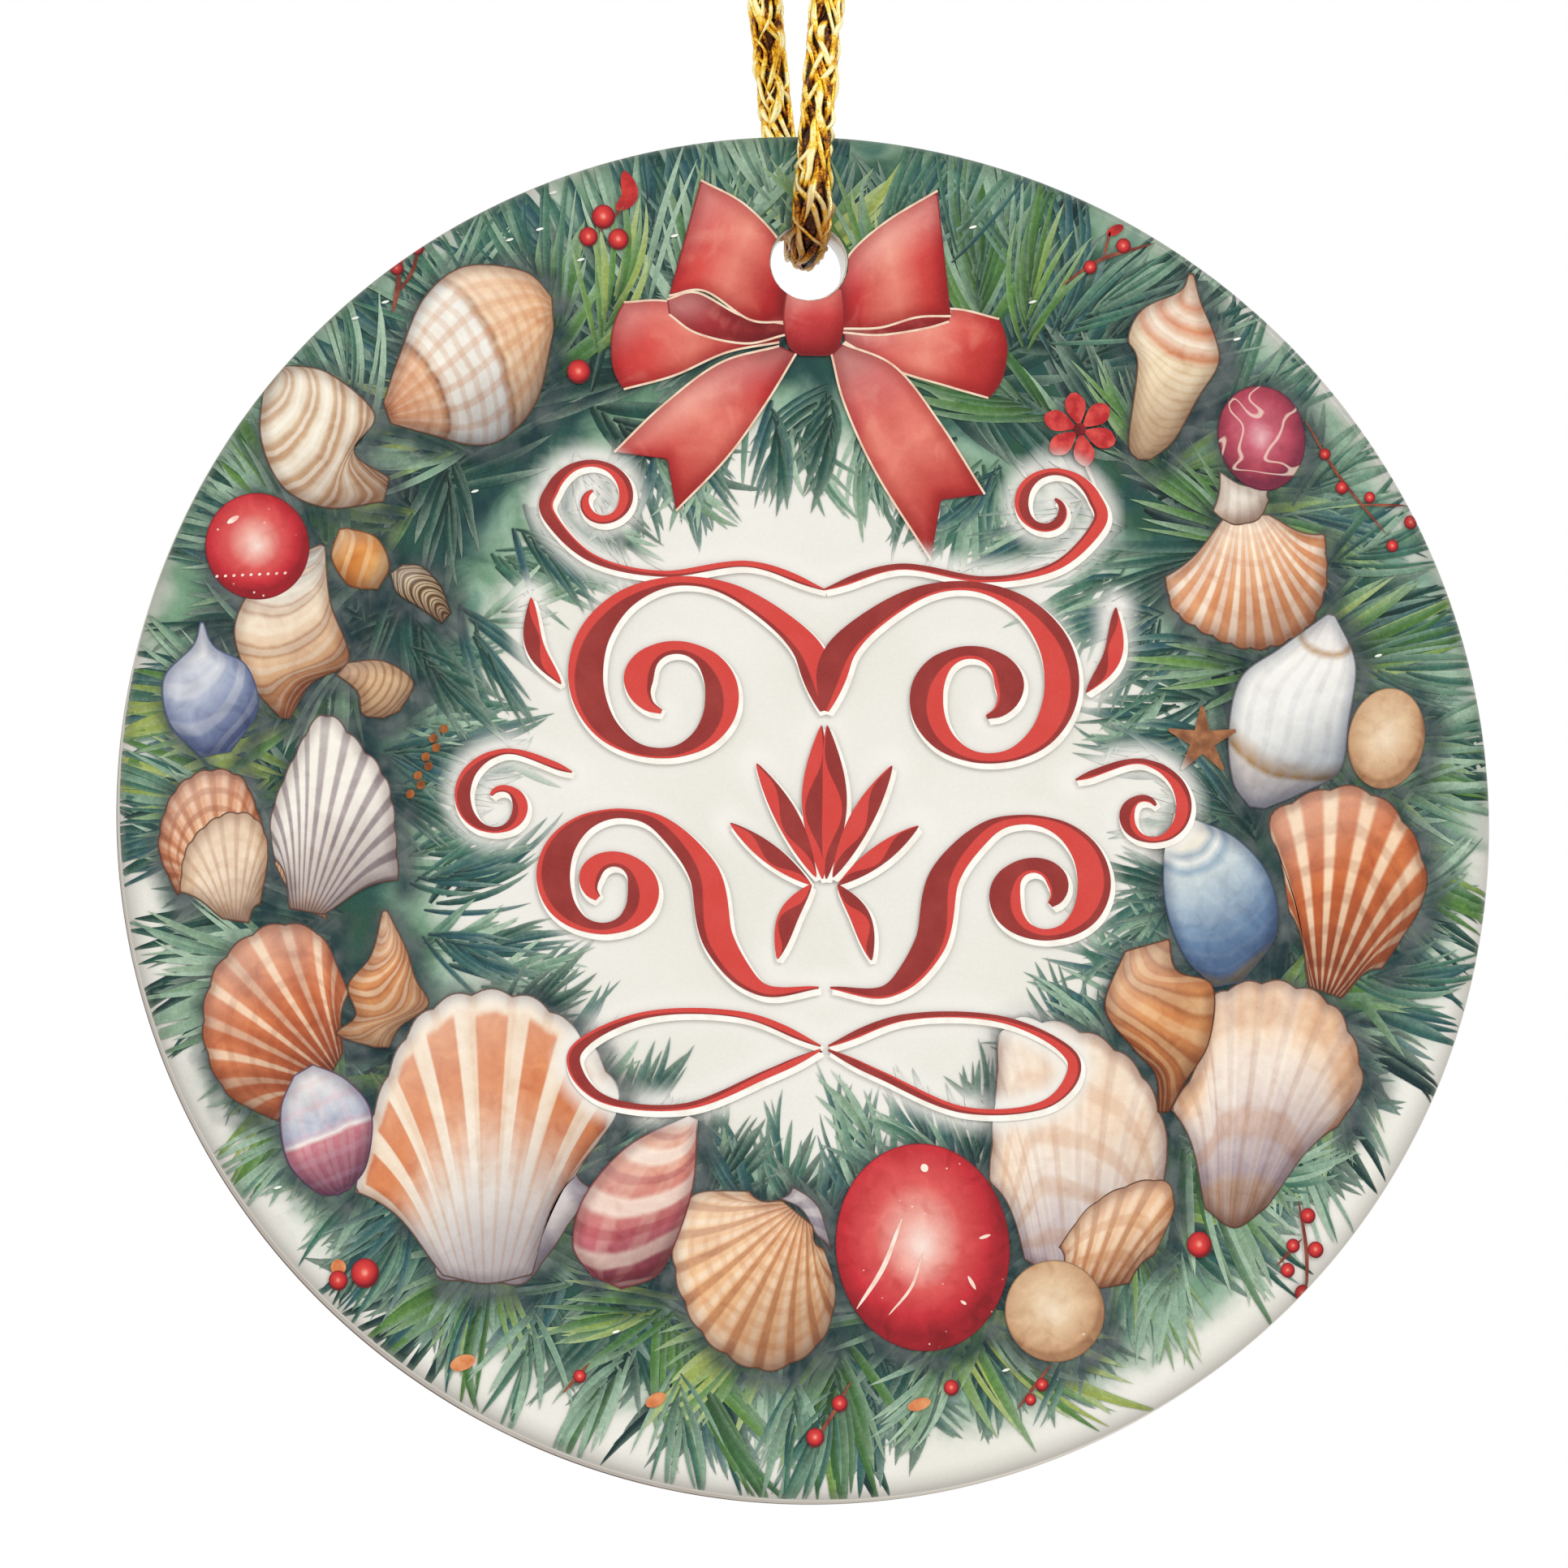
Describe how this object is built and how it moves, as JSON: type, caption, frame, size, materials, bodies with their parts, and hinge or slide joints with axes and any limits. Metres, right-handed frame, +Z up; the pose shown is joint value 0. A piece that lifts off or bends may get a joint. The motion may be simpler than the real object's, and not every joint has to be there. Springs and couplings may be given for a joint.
{
  "type": "hanging disc ornament",
  "caption": "Flat round ceramic ornament with a printed pine wreath on its front, hung by a gold cord loop through a hole near its top edge.",
  "frame": {"origin": "inside top of the cord loop, right under the knot, where a hook carries the ornament", "axes": "+Z up, the printed face looks along -Y, +X to the right of someone who looks at the printed face"},
  "size_m": [0.073, 0.0072, 0.1227],
  "materials": {
    "ceramic": "glossy white glaze",
    "print": "glossy printed coating",
    "cord": "braided metallic gold thread"
  },
  "bodies": {
    "hanger": {"cord_knot": "cord", "left_tail": "cord", "right_tail": "cord"},
    "loop": {"front_strand": "cord", "back_strand": "cord"},
    "bight": {"cord_bight": "cord"},
    "disc": {"ceramic_disc": "ceramic", "printed_coating": "print"}
  },
  "joints": [
    {"name": "loop_sway", "type": "hinge", "parent": "hanger", "child": "loop", "pos_m": [0, 0, 0], "axis": [1, 0, 0], "range_deg": [-30, 30]},
    {"name": "loop_twist", "type": "hinge", "parent": "loop", "child": "bight", "pos_m": [0, 0, 0], "axis": [0, 0, 1], "range_deg": [-180, 180], "deforming": ["front_strand", "back_strand"]},
    {"name": "disc_swing", "type": "hinge", "parent": "bight", "child": "disc", "pos_m": [0, 0, -0.0411], "axis": [0, 1, 0], "range_deg": [-45, 45]}
  ]
}
